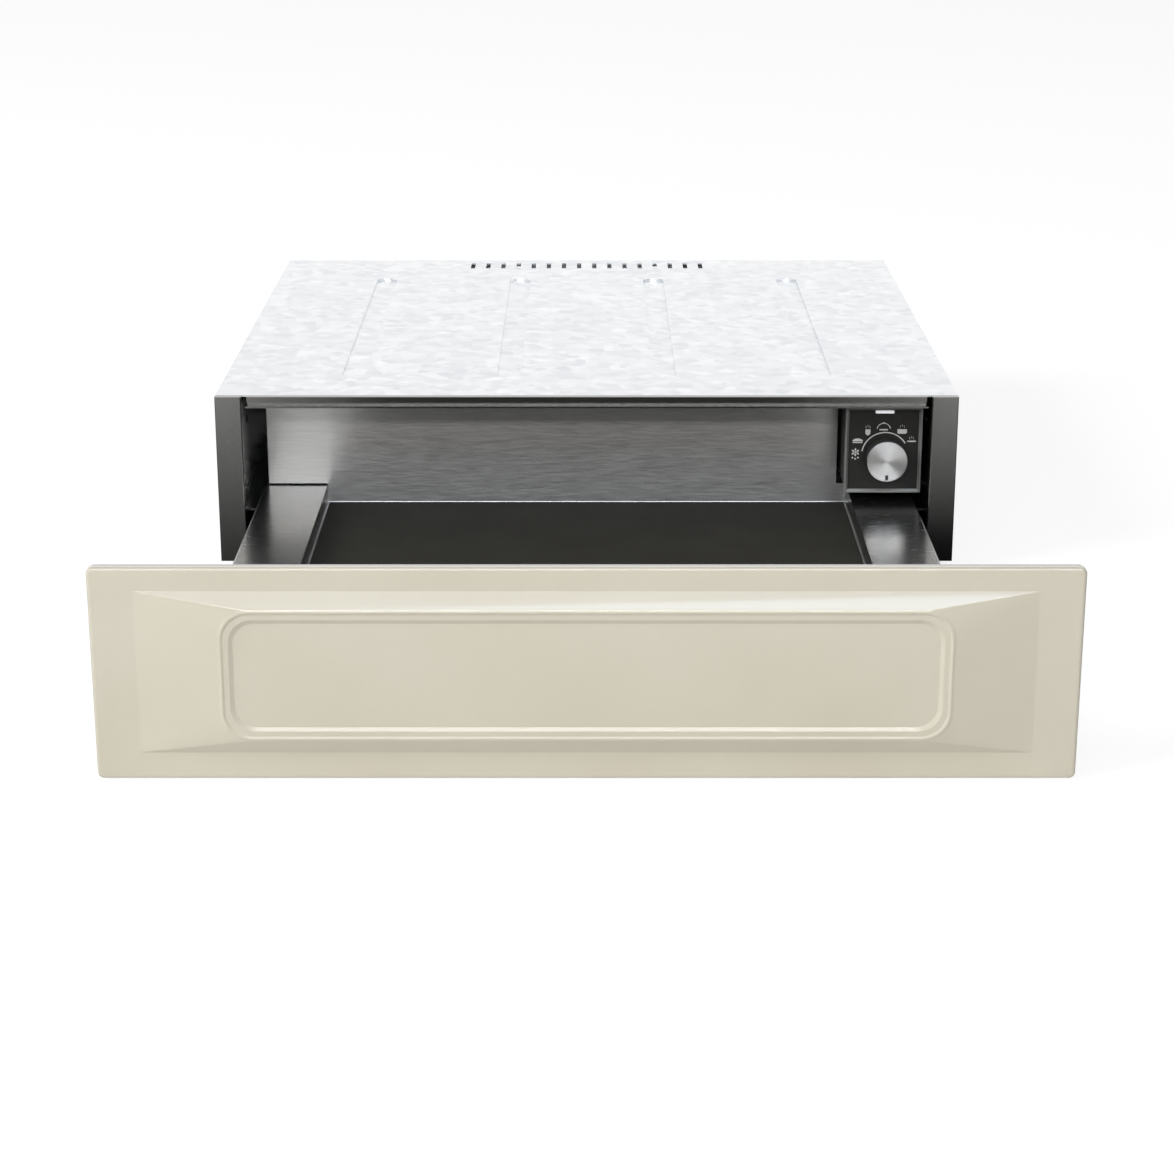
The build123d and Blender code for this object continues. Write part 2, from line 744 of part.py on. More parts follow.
def terminal_block():
    # four-way block on the base, with a screw well over each way
    left, right = 200.0, 244.0
    near, far = rear_plane - 46.0, rear_plane - 24.0
    top = 30.0
    block = slab(left, right, near, far, rim_top, top)
    for i in range(4):
        for y in (near + 5.0, far - 5.0):
            block -= Pos(left + 6.0 + i * 10.6, y, top - 3.0) * Cylinder(2.6, 8.0)
    return block


def mains_gland():
    # screwed gland through the rear sheet, open for the cable
    outer = rear_plane - sheet
    nut_depth = 4.0
    body = rod_y(gland_x, gland_z, outer - 12.0, outer, gland_thread_radius)
    flange = rod_y(gland_x, gland_z, outer, outer + 3.5, gland_thread_radius + 3.0)
    nut_plane = Plane((gland_x, rear_inner - nut_depth, gland_z), x_dir=(1, 0, 0), z_dir=(0, 1, 0))
    nut = extrude(nut_plane * RegularPolygon(gland_thread_radius + 4.0, 6), amount=nut_depth)
    nose = rod_y(gland_x, gland_z, outer + 3.5, outer + 8.0, gland_thread_radius - 0.5)
    nose = chamfer(nose.faces().sort_by(Axis.Y)[-1].edges(), 1.5)
    return body + flange + nut + nose - rod_y(gland_x, gland_z, outer - 20.0, outer + 10.0, gland_bore)


def push_latch_body():
    # push-to-open latch on the rear sheet
    half = 9.0
    front = latch_tip + 16.0
    body = slab(latch_x - half, latch_x + half, front, rear_inner, latch_z - half, latch_z + half)
    body = chamfer(body.edges().filter_by(Axis.Y), 2.0)
    collar = rod_y(latch_x, latch_z, front - 6.0, front, latch_radius + 2.5)
    return body + collar - rod_y(latch_x, latch_z, front - 7.0, front + 24.0, latch_radius + running_gap)


def latch_plunger():
    pin = rod_y(latch_x, latch_z, latch_tip, latch_tip + 30.0, latch_radius)
    return fillet(pin.faces().sort_by(Axis.Y)[0].edges(), 1.5)


def door_switch_body():
    # microswitch on a bracket from the rear sheet
    half = 4.0
    front = latch_tip + 6.0
    side = switch_x + half
    body = slab(switch_x - half, side, front, front + 16.0, latch_z - 10.0, latch_z + 10.0)
    arm = slab(side, side + sheet, front + 2.0, rear_inner, latch_z - 7.0, latch_z + 7.0)
    return body + arm - rod_y(switch_x, latch_z, front - 1.0, front + 8.0, switch_radius + running_gap)


def switch_button():
    pin = rod_y(switch_x, latch_z, latch_tip, latch_tip + 11.0, switch_radius)
    return fillet(pin.faces().sort_by(Axis.Y)[0].edges(), 0.7)


def pan_screw(radius, height):
    # domed head with a cross recess, standing on the XY plane
    head = Pos(0, 0, height / 2) * Cylinder(radius, height)
    head = fillet(head.faces().sort_by(Axis.Z)[-1].edges(), height * 0.6)
    for angle in (0, 90):
        head -= Pos(0, 0, height) * Rot(0, 0, angle) * Box(radius * 1.1, 0.8, 1.4)
    return head


def carcass_screws():
    # heads on the rear edge of the lid, and along the side walls into the slide brackets
    radius, height = 3.4, 1.6
    heads = []
    for x in (-240.0, -120.0, 120.0, 240.0):
        heads.append(Pos(x, rear_plane, carcass_top - 9.0) * Rot(-90, 0, 0) * pan_screw(radius, height))
    for y in (-210.0, 0.0, 190.0):
        for side in (-1, 1):
            place = Pos(side * half_width, y, bracket_top + 6.0)
            heads.append(place * Rot(0, side * 90, 0) * pan_screw(radius, height))
    return group(heads)


def drawer_screws():
    # heads that hold the lining to the front
    heads = []
    for x in (-240.0, -120.0, 0.0, 120.0, 240.0):
        heads.append(Pos(x, drawer_front, lining_top - 8.0) * Rot(-90, 0, 0) * pan_screw(3.0, 1.4))
    return group(heads)


sides = ("left", "right")
nodes = {
    "base_pan": base_pan(),
    "top_cover": top_cover(),
    "rear_panel": rear_panel(),
    "front_top_rail": front_top_rail(),
    "control_housing": control_housing(),
    "control_bezel": control_bezel(),
    "control_fascia": control_fascia(),
    "indicator_lens": indicator_lens(),
    "indicator_lamp": indicator_lamp(),
    "thermostat_body": thermostat_body(),
    "knob_skirt": knob_skirt(),
    "knob_cap": knob_cap_disc(),
    "knob_shaft": knob_shaft(),
    "blower_housing": blower_housing(),
    "blower_rotor": blower_rotor(),
    "blower_shaft": blower_shaft(),
    "blower_motor": blower_motor(),
    "heater_element": heater_element(),
    "heater_tray": heater_tray(),
    "thermal_cutout": thermal_cutout(),
    "terminal_block": terminal_block(),
    "mains_gland": mains_gland(),
    "push_latch_body": push_latch_body(),
    "latch_plunger": latch_plunger(),
    "door_switch_body": door_switch_body(),
    "switch_button": switch_button(),
    "carcass_screws": carcass_screws(),
    "front_panel": shifted(front_panel(), 1),
    "front_backing": shifted(front_backing(), 1),
    "inner_front": shifted(inner_front(), 1),
    "front_bumpers": shifted(front_bumpers(), 1),
    "drawer_tray": shifted(drawer_tray(), 1),
    "drawer_back_wall": shifted(drawer_back_wall(), 1),
    "anti_slip_mat": shifted(anti_slip_mat(), 1),
    "drawer_screws": shifted(drawer_screws(), 1),
}
for side in sides:
    nodes["side_panel_" + side] = side_panel(side)
    nodes["rail_bracket_" + side] = rail_bracket(side)
    nodes["cabinet_rail_" + side] = cabinet_rail(side)
    nodes["ledge_" + side] = shifted(side_ledge(side), 1)
    nodes["drawer_side_" + side] = shifted(drawer_side(side), 1)
    nodes["drawer_rail_" + side] = shifted(drawer_rail(side), 1)
    nodes["middle_rail_" + side] = shifted(middle_rail(side), middle_rail_share)
    nodes["outer_ball_cage_" + side] = shifted(outer_ball_cage(side), outer_cage_share)
    nodes["inner_ball_cage_" + side] = shifted(inner_ball_cage(side), inner_cage_share)

os.makedirs("parts", exist_ok=True)
for name, part in nodes.items():
    export_step(part, "parts/" + name + ".step")
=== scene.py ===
import math

import bmesh
import bpy
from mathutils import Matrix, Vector


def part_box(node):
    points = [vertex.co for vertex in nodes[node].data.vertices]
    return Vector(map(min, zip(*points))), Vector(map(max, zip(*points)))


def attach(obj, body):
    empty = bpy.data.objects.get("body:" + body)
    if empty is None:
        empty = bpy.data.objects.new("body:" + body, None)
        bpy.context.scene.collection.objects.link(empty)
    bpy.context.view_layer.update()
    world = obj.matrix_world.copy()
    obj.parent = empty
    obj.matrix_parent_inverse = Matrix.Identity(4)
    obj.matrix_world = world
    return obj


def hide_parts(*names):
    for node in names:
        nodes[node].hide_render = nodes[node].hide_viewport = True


# Looks for a built-in warming drawer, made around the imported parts.
# Blender works in metres. Sizes given in millimetres are multiplied by mm.
mm = 0.001

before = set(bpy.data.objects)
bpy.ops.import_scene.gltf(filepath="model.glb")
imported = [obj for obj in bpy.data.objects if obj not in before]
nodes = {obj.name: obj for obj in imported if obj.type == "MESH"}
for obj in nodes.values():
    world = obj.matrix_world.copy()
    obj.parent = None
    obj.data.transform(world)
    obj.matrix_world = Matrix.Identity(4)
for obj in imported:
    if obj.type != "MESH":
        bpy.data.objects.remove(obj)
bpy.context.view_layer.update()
print("loaded", len(nodes), "parts")


def toLinear(hexColour):
    # sRGB hex to linear RGBA
    channels = [int(hexColour[i:i + 2], 16) / 255 for i in (1, 3, 5)]
    linear = [c / 12.92 if c <= 0.04045 else ((c + 0.055) / 1.055) ** 2.4 for c in channels]
    return (*linear, 1.0)


def addNode(tree, kind, settings=None, links=None):
    # settings go to a socket where one has that name or number, else to a property
    node = tree.nodes.new(kind)
    for key, value in (settings or {}).items():
        if isinstance(key, int) or key in node.inputs:
            node.inputs[key].default_value = value
        else:
            setattr(node, key, value)
    for key, output in (links or {}).items():
        tree.links.new(output, node.inputs[key])
    return node


# camera: stands in front of the drawer, a little above it, and looks down at it

cameraSettings = {
    "place": (0.284 * mm, -2184.276 * mm, 613.385 * mm),
    "lookDown": 18.07,
    "lens": 81.10,
    "sensor": 36.0,
}


def makeCamera(settings):
    data = bpy.data.cameras.new("camera")
    data.lens = settings["lens"]
    data.sensor_width = settings["sensor"]
    data.dof.use_dof = False
    camera = bpy.data.objects.new("camera", data)
    camera.location = settings["place"]
    camera.rotation_euler = (math.radians(90 - settings["lookDown"]), 0, 0)
    bpy.context.scene.collection.objects.link(camera)
    bpy.context.scene.camera = camera


makeCamera(cameraSettings)
print("camera placed")


# studio: white surroundings, soft lamps above, in front and at the left, and a card behind for the top edges

studio = {
    "surroundings": 1.0,        # what the camera and reflections see
    "fill": 0.13,               # what lights the matt surfaces
    "target": Vector((0, -0.45, 0.07)),
    "floorColour": "#EAEAE9",
    "floorGlow": 1.3,           # how bright the camera sees the paper
    "floorShare": 0.66,         # share of that glow; the rest takes the shadow
    "laneShare": 0.25,          # distances across the floor count for this much
    "foot": Vector((0.1, -0.265, 0)),           # at the carcass's front edge, x already shortened
    "mirrored": ((0.1, 0.0), (0.8, 1.1)),       # distance from the foot, and brightness that reflections see, dark at the foot as a painted shadow
    "floorSize": 40.0,
}

lamps = {
    "overheadLamp": {"azimuth": -8.0, "elevation": 62.0, "distance": 3.0, "size": (3.0, 1.0), "power": 10.0,
                     "colour": "#FFFFFF", "diffuse": True, "glossy": False},
    "overheadCard": {"azimuth": -4.0, "elevation": 47.0, "distance": 2.8, "size": (3.4, 0.8), "power": 40.0,
                     "colour": "#D3E6FF", "diffuse": False, "glossy": True},
    "stripLamp": {"azimuth": -1.0, "elevation": 25.4, "distance": 3.4, "size": (4.2, 0.24), "power": 50.0,
                  "colour": "#FFFFFF", "diffuse": True, "glossy": True},
    "sideLamp": {"azimuth": -66.0, "elevation": 30.0, "distance": 9.0, "size": (3.6, 3.6), "power": 600.0,
                 "colour": "#FFFFFF", "diffuse": True, "glossy": False},
    "backCard": {"azimuth": 180.0, "elevation": 17.0, "distance": 3.4, "size": (6.0, 0.9), "power": 8.0,
                 "colour": "#FFFFFF", "diffuse": False, "glossy": True},
}


def makeWorld(settings):
    world = bpy.data.worlds.new("studio")
    world.use_nodes = True
    tree = world.node_tree
    tree.nodes.clear()
    path = addNode(tree, "ShaderNodeLightPath")
    seen = addNode(tree, "ShaderNodeMath", {"operation": "MAXIMUM"},
                   {0: path.outputs["Is Camera Ray"], 1: path.outputs["Is Glossy Ray"]})
    seen = addNode(tree, "ShaderNodeMath", {"operation": "MAXIMUM"},
                   {0: seen.outputs[0], 1: path.outputs["Is Transmission Ray"]})
    strength = addNode(tree, "ShaderNodeMapRange",
                       {"To Min": settings["fill"], "To Max": settings["surroundings"]},
                       {"Value": seen.outputs[0]})
    light = addNode(tree, "ShaderNodeBackground", links={"Strength": strength.outputs["Result"]})
    addNode(tree, "ShaderNodeOutputWorld", links={"Surface": light.outputs[0]})
    bpy.context.scene.world = world


def makeLamp(name, settings, target):
    data = bpy.data.lights.new(name, "AREA")
    data.shape = "RECTANGLE"
    data.size, data.size_y = settings["size"]
    data.energy = settings["power"]
    data.color = toLinear(settings["colour"])[:3]
    lamp = bpy.data.objects.new(name, data)
    around, up = math.radians(settings["azimuth"]), math.radians(settings["elevation"])
    away = Vector((math.sin(around) * math.cos(up), -math.cos(around) * math.cos(up), math.sin(up)))
    lamp.location = target + away * settings["distance"]
    lamp.rotation_euler = away.to_track_quat("Z", "Y").to_euler()
    lamp.visible_camera = False
    lamp.visible_diffuse = settings["diffuse"]      # a card shows in reflections alone, a flood in none
    lamp.visible_glossy = settings["glossy"]
    bpy.context.scene.collection.objects.link(lamp)


def makeFloor(settings):
    half = settings["floorSize"] / 2
    mesh = bpy.data.meshes.new("floor")
    corners = [(-half, -half, 0), (half, -half, 0), (half, half, 0), (-half, half, 0)]
    mesh.from_pydata(corners, [], [(0, 1, 2, 3)])
    floor = bpy.data.objects.new("floor", mesh)
    bpy.context.scene.collection.objects.link(floor)
    material = bpy.data.materials.new("paperSweep")     # matt white paper, lifted to white for the camera
    material.use_nodes = True
    tree = material.node_tree
    tree.nodes.clear()
    paper = addNode(tree, "ShaderNodeBsdfPrincipled",
                    {"Base Color": toLinear(settings["floorColour"]), "Roughness": 0.9})
    # painted shadow: reflections see the floor dark at the object's foot and bright further out, in place of
    # the shadow the object casts there
    place = addNode(tree, "ShaderNodeTexCoord")
    lane = addNode(tree, "ShaderNodeVectorMath", {"operation": "MULTIPLY", 1: (settings["laneShare"], 1, 1)},
                   {0: place.outputs["Object"]})
    away = addNode(tree, "ShaderNodeVectorMath", {"operation": "DISTANCE", 1: settings["foot"]},
                   {0: lane.outputs["Vector"]})
    (near, dim), (far, bright) = settings["mirrored"]
    paintedShadowInMirror = addNode(tree, "ShaderNodeMapRange",
                           {"From Min": near, "From Max": far, "To Min": dim, "To Max": bright},
                           {"Value": away.outputs["Value"]})
    # the camera sees glow and paper mixed, reflections the glow alone, and matt surfaces the paper alone
    path = addNode(tree, "ShaderNodeLightPath")
    mirrored = addNode(tree, "ShaderNodeMath", {"operation": "MAXIMUM"},
                       {0: path.outputs["Is Glossy Ray"], 1: path.outputs["Is Transmission Ray"]})
    strength = addNode(tree, "ShaderNodeMix", {"data_type": "FLOAT", 2: settings["floorGlow"]},
                       {0: mirrored.outputs[0], 3: paintedShadowInMirror.outputs["Result"]})
    direct = addNode(tree, "ShaderNodeMath", {"operation": "MULTIPLY", 1: settings["floorShare"]},
                     {0: path.outputs["Is Camera Ray"]})
    share = addNode(tree, "ShaderNodeMath", {"operation": "MAXIMUM"},
                    {0: direct.outputs[0], 1: mirrored.outputs[0]})
    glow = addNode(tree, "ShaderNodeEmission", links={"Strength": strength.outputs[0]})
    both = addNode(tree, "ShaderNodeMixShader",
                   links={0: share.outputs[0], 1: paper.outputs[0], 2: glow.outputs[0]})
    addNode(tree, "ShaderNodeOutputMaterial", links={"Surface": both.outputs[0]})
    mesh.materials.append(material)


makeWorld(studio)
for lampName, lampSettings in lamps.items():
    makeLamp(lampName, lampSettings, studio["target"])
makeFloor(studio)
bpy.context.scene.view_settings.view_transform = "Standard"
print("studio lit")


# materials


def newMaterial(name, settings):
    material = bpy.data.materials.new(name)
    material.use_nodes = True
    tree = material.node_tree
    tree.nodes.clear()
    shader = addNode(tree, "ShaderNodeBsdfPrincipled", settings)
    addNode(tree, "ShaderNodeOutputMaterial", links={"Surface": shader.outputs["BSDF"]})
    return material, tree, shader


def feed(tree, shader, links):
    for socket, output in links.items():
        tree.links.new(output, shader.inputs[socket])


def pattern(tree, kind, scale, settings=None):
    # a texture on object coordinates; scale is repeats per metre along each axis
    place = addNode(tree, "ShaderNodeTexCoord")
    mapped = addNode(tree, "ShaderNodeMapping", {"Scale": scale}, {"Vector": place.outputs["Object"]})
    return addNode(tree, kind, {"Scale": 1.0, **(settings or {})}, {"Vector": mapped.outputs["Vector"]})


noiseRange = {"From Min": 0.3, "From Max": 0.7}     # where nearly all of a noise's values lie


def tint(tree, value, dark, light):
    # a colour between two, by a noise's value
    share = addNode(tree, "ShaderNodeMapRange", noiseRange, {"Value": value})
    mix = addNode(tree, "ShaderNodeMix", {"data_type": "RGBA", 6: toLinear(dark), 7: toLinear(light)},
                  {0: share.outputs["Result"]})
    return mix.outputs[2]


def glossEnamel():
    # vitreous enamel fired on steel: cream body under a wet-looking glass, with a faint orange peel
    material, tree, shader = newMaterial("glossEnamel", {"Roughness": 0.2, "IOR": 1.5, "Coat Weight": 1.0,
                                                         "Coat Roughness": 0.035, "Coat IOR": 1.5})
    cloud = pattern(tree, "ShaderNodeTexNoise", (9, 9, 9), {"Detail": 3.0})         # clouds about 110 mm wide
    peel = pattern(tree, "ShaderNodeTexNoise", (420, 420, 420), {"Detail": 2.0})    # waves about 2.4 mm long
    relief = addNode(tree, "ShaderNodeBump", {"Distance": 0.003 * mm}, {"Height": peel.outputs["Fac"]})
    feed(tree, shader, {"Base Color": tint(tree, cloud.outputs["Fac"], "#C8C1AF", "#CDC7B6"),
                        "Normal": relief.outputs["Normal"]})
    return material


def brushedSteel(name, dark, light, roughness, anisotropy):
    # stainless sheet brushed from side to side: fine lines, and reflections drawn out up and down
    material, tree, shader = newMaterial(name, {"Metallic": 1.0, "Anisotropic": anisotropy})
    # lines 0.7 mm apart and 13 mm long, coarser than the real ones so that they show
    brushing = pattern(tree, "ShaderNodeTexNoise", (75, 1500, 1500), {"Detail": 3.0, "Roughness": 0.6})
    low, high = roughness
    gloss = addNode(tree, "ShaderNodeMapRange", {**noiseRange, "To Min": low, "To Max": high},
                    {"Value": brushing.outputs["Fac"]})
    # lies across the brushing on floors and walls alike
    tangent = addNode(tree, "ShaderNodeCombineXYZ", {"X": 0.0, "Y": 0.7, "Z": 0.7})
    relief = addNode(tree, "ShaderNodeBump", {"Distance": 0.004 * mm}, {"Height": brushing.outputs["Fac"]})
    feed(tree, shader, {"Base Color": tint(tree, brushing.outputs["Fac"], dark, light),
                        "Roughness": gloss.outputs["Result"], "Tangent": tangent.outputs[0],
                        "Normal": relief.outputs["Normal"]})
    return material


def galvanisedSheet():
    # hot-dipped zinc on steel: pale crystals about 9 mm across, each with its own shade and gloss
    material, tree, shader = newMaterial("galvanisedSheet", {"Metallic": 1.0})
    spangle = pattern(tree, "ShaderNodeTexVoronoi", (110, 110, 110))
    fine = pattern(tree, "ShaderNodeTexNoise", (600, 600, 600), {"Detail": 3.0})     # grains 1.7 mm across
    shade = addNode(tree, "ShaderNodeSeparateColor", links={"Color": spangle.outputs["Color"]})
    colour = addNode(tree, "ShaderNodeMix",
                     {"data_type": "RGBA", 6: toLinear("#E6E8EA"), 7: toLinear("#F2F3F4")},
                     {0: shade.outputs[0]})
    gloss = addNode(tree, "ShaderNodeMapRange", {"To Min": 0.34, "To Max": 0.5}, {"Value": shade.outputs[1]})
    relief = addNode(tree, "ShaderNodeBump", {"Distance": 0.01 * mm}, {"Height": fine.outputs["Fac"]})
    feed(tree, shader, {"Base Color": colour.outputs[2], "Roughness": gloss.outputs["Result"],
                        "Normal": relief.outputs["Normal"]})
    return material


def zincPlate():
    # bright zinc plating: cool silver with soft handling marks about 17 mm across
    material, tree, shader = newMaterial("zincPlate", {"Metallic": 1.0})
    marks = pattern(tree, "ShaderNodeTexNoise", (60, 60, 60), {"Detail": 5.0})
    gloss = addNode(tree, "ShaderNodeMapRange", {**noiseRange, "To Min": 0.22, "To Max": 0.36},
                    {"Value": marks.outputs["Fac"]})
    feed(tree, shader, {"Base Color": tint(tree, marks.outputs["Fac"], "#B4B8BE", "#C6CACE"),
                        "Roughness": gloss.outputs["Result"]})
    return material


def grainedMetal(name, dark, light, metallic, roughness):
    # stoved, blackened or browned steel: a dull metal sheen over a grain 1.1 mm across
    material, tree, shader = newMaterial(name, {"Metallic": metallic, "Roughness": roughness})
    grain = pattern(tree, "ShaderNodeTexNoise", (900, 900, 900), {"Detail": 2.0})
    relief = addNode(tree, "ShaderNodeBump", {"Distance": 0.01 * mm}, {"Height": grain.outputs["Fac"]})
    feed(tree, shader, {"Base Color": tint(tree, grain.outputs["Fac"], dark, light),
                        "Normal": relief.outputs["Normal"]})
    return material


def siliconeMat():
    # matt dark rubber sheet with a fine pebbled skin, 1.5 mm from pebble to pebble, and a little dust
    material, tree, shader = newMaterial("siliconeMat", {"Roughness": 0.8, "Specular IOR Level": 0.18})
    pebbles = pattern(tree, "ShaderNodeTexVoronoi", (660, 660, 660), {"feature": "SMOOTH_F1"})
    dust = pattern(tree, "ShaderNodeTexNoise", (18, 18, 18), {"Detail": 5.0})        # patches 55 mm across
    relief = addNode(tree, "ShaderNodeBump", {"Distance": 0.05 * mm}, {"Height": pebbles.outputs["Distance"]})
    feed(tree, shader, {"Base Color": tint(tree, dust.outputs["Fac"], "#2B2A26", "#31302C"),
                        "Normal": relief.outputs["Normal"]})
    return material


def mouldedPlastic(name, dark, light, roughness, depth=0.02, gloss=0.5):
    # moulded plastic or printed ink: an even skin with a spark-eroded grain, 0.7 mm across and depth mm deep
    material, tree, shader = newMaterial(name, {"Roughness": roughness, "Specular IOR Level": gloss})
    grain = pattern(tree, "ShaderNodeTexNoise", (1400, 1400, 1400), {"Detail": 2.0})
    relief = addNode(tree, "ShaderNodeBump", {"Distance": depth * mm}, {"Height": grain.outputs["Fac"]})
    feed(tree, shader, {"Base Color": tint(tree, grain.outputs["Fac"], dark, light),
                        "Normal": relief.outputs["Normal"]})
    return material


def spunAluminium():
    # turned aluminium: rings 0.3 mm apart round the centre pull the light into bright fans
    material, tree, shader = newMaterial("spunAluminium", {"Metallic": 1.0, "Roughness": 0.3,
                                                           "Anisotropic": 0.9, "Anisotropic Rotation": 0.25})
    low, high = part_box("knob_cap")
    centre = (low + high) / 2
    place = addNode(tree, "ShaderNodeTexCoord")
    offset = addNode(tree, "ShaderNodeMapping", {"Location": (-centre.x, -centre.y, -centre.z)},
                     {"Vector": place.outputs["Object"]})
    flat = addNode(tree, "ShaderNodeVectorMath", {"operation": "MULTIPLY", 1: (1, 0, 1)},
                   {0: offset.outputs["Vector"]})
    radius = addNode(tree, "ShaderNodeVectorMath", {"operation": "LENGTH"}, {0: flat.outputs["Vector"]})
    rings = addNode(tree, "ShaderNodeTexNoise", {"noise_dimensions": "1D", "Scale": 3500.0, "Detail": 3.0},
                    {"W": radius.outputs["Value"]})
    tangent = addNode(tree, "ShaderNodeTangent", {"direction_type": "RADIAL", "axis": "Y"})
    feed(tree, shader, {"Base Color": tint(tree, rings.outputs["Fac"], "#B7B7B6", "#C9C9C8"),
                        "Tangent": tangent.outputs["Tangent"]})
    return material


def opalLens():
    # milky light guide, lit from behind: even and smooth, it glows a little
    look = {"Base Color": toLinear("#F4F4F6"), "Roughness": 0.3, "Emission Color": toLinear("#F2F2F6"),
            "Emission Strength": 0.55}
    return newMaterial("opalLens", look)[0]


materials = {
    "enamel": glossEnamel(),
    "wallSteel": brushedSteel("wallSteel", "#AEADAB", "#BDBCBA", (0.31, 0.4), 0.55),
    "ledgeSteel": brushedSteel("ledgeSteel", "#9A9997", "#A6A5A3", (0.2, 0.28), 0.3),
    "galvanised": galvanisedSheet(),
    "zinc": zincPlate(),
    "sideSteel": grainedMetal("sideSteel", "#807F7D", "#8A8A88", 1.0, 0.2),
    "bezelGrey": grainedMetal("bezelGrey", "#7A7A77", "#82827F", 0.3, 0.36),
    "mat": siliconeMat(),
    "fascia": mouldedPlastic("fasciaBlack", "#211F1D", "#252422", 0.45, 0.004, 0.25),
    "knobBlack": mouldedPlastic("knobBlack", "#1E1E1C", "#232321", 0.5),
    "blackPlastic": mouldedPlastic("blackPlastic", "#232323", "#2A2A2A", 0.5),
    "rubber": mouldedPlastic("bumperRubber", "#1F1F1E", "#292927", 0.75, 0.03),
    "ink": mouldedPlastic("screenInk", "#C9C9C6", "#D6D6D3", 0.6),
    "spun": spunAluminium(),
    "lens": opalLens(),
    "red": mouldedPlastic("switchRed", "#A52D22", "#B03428", 0.45),
    "cream": mouldedPlastic("terminalCream", "#D8CDB2", "#DED4BC", 0.5),
    "motorSteel": grainedMetal("motorSteel", "#8C8C8B", "#9A9A99", 1.0, 0.45),
    "heaterSteel": grainedMetal("heaterSteel", "#6F6A60", "#7D766A", 1.0, 0.5),
}

finishes = {
    "enamel": ["front_panel"],
    "wallSteel": ["drawer_back_wall", "inner_front", "drawer_tray"],
    "ledgeSteel": ["ledge_left", "ledge_right"],
    "galvanised": ["base_pan", "top_cover", "rear_panel", "heater_tray", "blower_housing", "front_backing",
                   "drawer_side_left", "drawer_side_right"],
    "zinc": ["cabinet_rail_left", "cabinet_rail_right", "middle_rail_left", "middle_rail_right",
             "drawer_rail_left", "drawer_rail_right", "outer_ball_cage_left", "outer_ball_cage_right",
             "inner_ball_cage_left", "inner_ball_cage_right", "carcass_screws", "drawer_screws", "knob_shaft",
             "blower_shaft"],
    "sideSteel": ["side_panel_left", "side_panel_right", "front_top_rail", "rail_bracket_left",
                  "rail_bracket_right"],
    "bezelGrey": ["control_bezel"],
    "blackPlastic": ["control_housing", "thermostat_body", "push_latch_body", "latch_plunger",
                     "door_switch_body", "mains_gland"],
    "fascia": ["control_fascia"],
    "mat": ["anti_slip_mat"],
    "rubber": ["front_bumpers"],
    "knobBlack": ["knob_skirt"],
    "spun": ["knob_cap", "blower_rotor"],
    "lens": ["indicator_lens", "indicator_lamp"],
    "red": ["switch_button"],
    "cream": ["terminal_block"],
    "motorSteel": ["blower_motor", "thermal_cutout"],
    "heaterSteel": ["heater_element"],
}

for finish, names in finishes.items():
    for name in names:
        slots = nodes[name].data.materials
        slots.clear()
        slots.append(materials[finish])
print("finishes on", sum(len(names) for names in finishes.values()), "parts")


def finishPiece(name, mesh, material, sharpAngle=28.0):
    # a new object at the origin, smooth except at its sharp edges
    mesh.shade_smooth()
    mesh.set_sharp_from_angle(angle=math.radians(sharpAngle))
    mesh.materials.clear()
    mesh.materials.append(material)
    piece = bpy.data.objects.new(name, mesh)
    bpy.context.scene.collection.objects.link(piece)
    return piece


# enamelled front: rings of points, each a rounded rectangle, joined from the turned edge to the centre

panelLow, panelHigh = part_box("front_panel")
frontSettings = {
    "depth": 8.0,               # turned edge
    "sheet": 1.5,
    "corner": 4.0,
    "backBevel": (0.25, 0.4),   # inwards and forwards, round the end of the turned edge
    "edgeRound": 2.2,
    "edgeFlat": 0.5,            # flat that the rounding leaves beside it
    "reliefSize": (542.0, 103.1),
    "reliefCorner": 0.5,
    "reliefLift": 1.35,
    "crestSize": (442.0, 83.9),
    "crestCorner": 18.0,
    "crestRise": 7.0,
    "shoulder": (1.3, 0.5),     # a narrow slant round the top of the crest: its width and drop
    "stepInsets": (2.0, 3.2, 6.4, 8.9),      # where the two small slopes down to the centre start and end
    "stepDrops": (0.54, 1.14),
    "centreMargin": 1.0,
    "foldRounds": (0.25, 0.5, 0.3, 0.25),    # rounding at the foot, the shoulder, the crest and the steps
    "cornerPoints": 16,
    "roundPoints": 6,
}


def roundedRing(width, height, corner, points):
    ring = []
    for signX, signZ, start in ((1, 1, 0), (-1, 1, 90), (-1, -1, 180), (1, -1, 270)):
        for i in range(points + 1):
            angle = math.radians(start + 90.0 * i / points)
            ring.append((signX * (width / 2 - corner) + corner * math.cos(angle),
                         signZ * (height / 2 - corner) + corner * math.sin(angle)))
    return ring


def roundedProfile(corners, steps):
    # corners: (width, height, corner radius, forward, lift, rounding); each rounding becomes a short curve,
    # which takes at most half of the way to a neighbour that is rounded too
    rings = []
    for i, (*shape, rounding) in enumerate(corners):
        here = Vector(shape)
        if not rounding:
            rings.append(here)
            continue
        ends = []
        for other in (corners[i - 1], corners[i + 1]):
            step = Vector(other[:5]) - here
            run = math.hypot(step[1] / 2, step[3])
            ends.append(here + step * min(rounding / run, 0.5 if other[5] else 1.0))
        for k in range(steps + 1):
            t = k / steps
            rings.append(ends[0] * (1 - t) ** 2 + here * 2 * t * (1 - t) + ends[1] * t ** 2)
    return rings


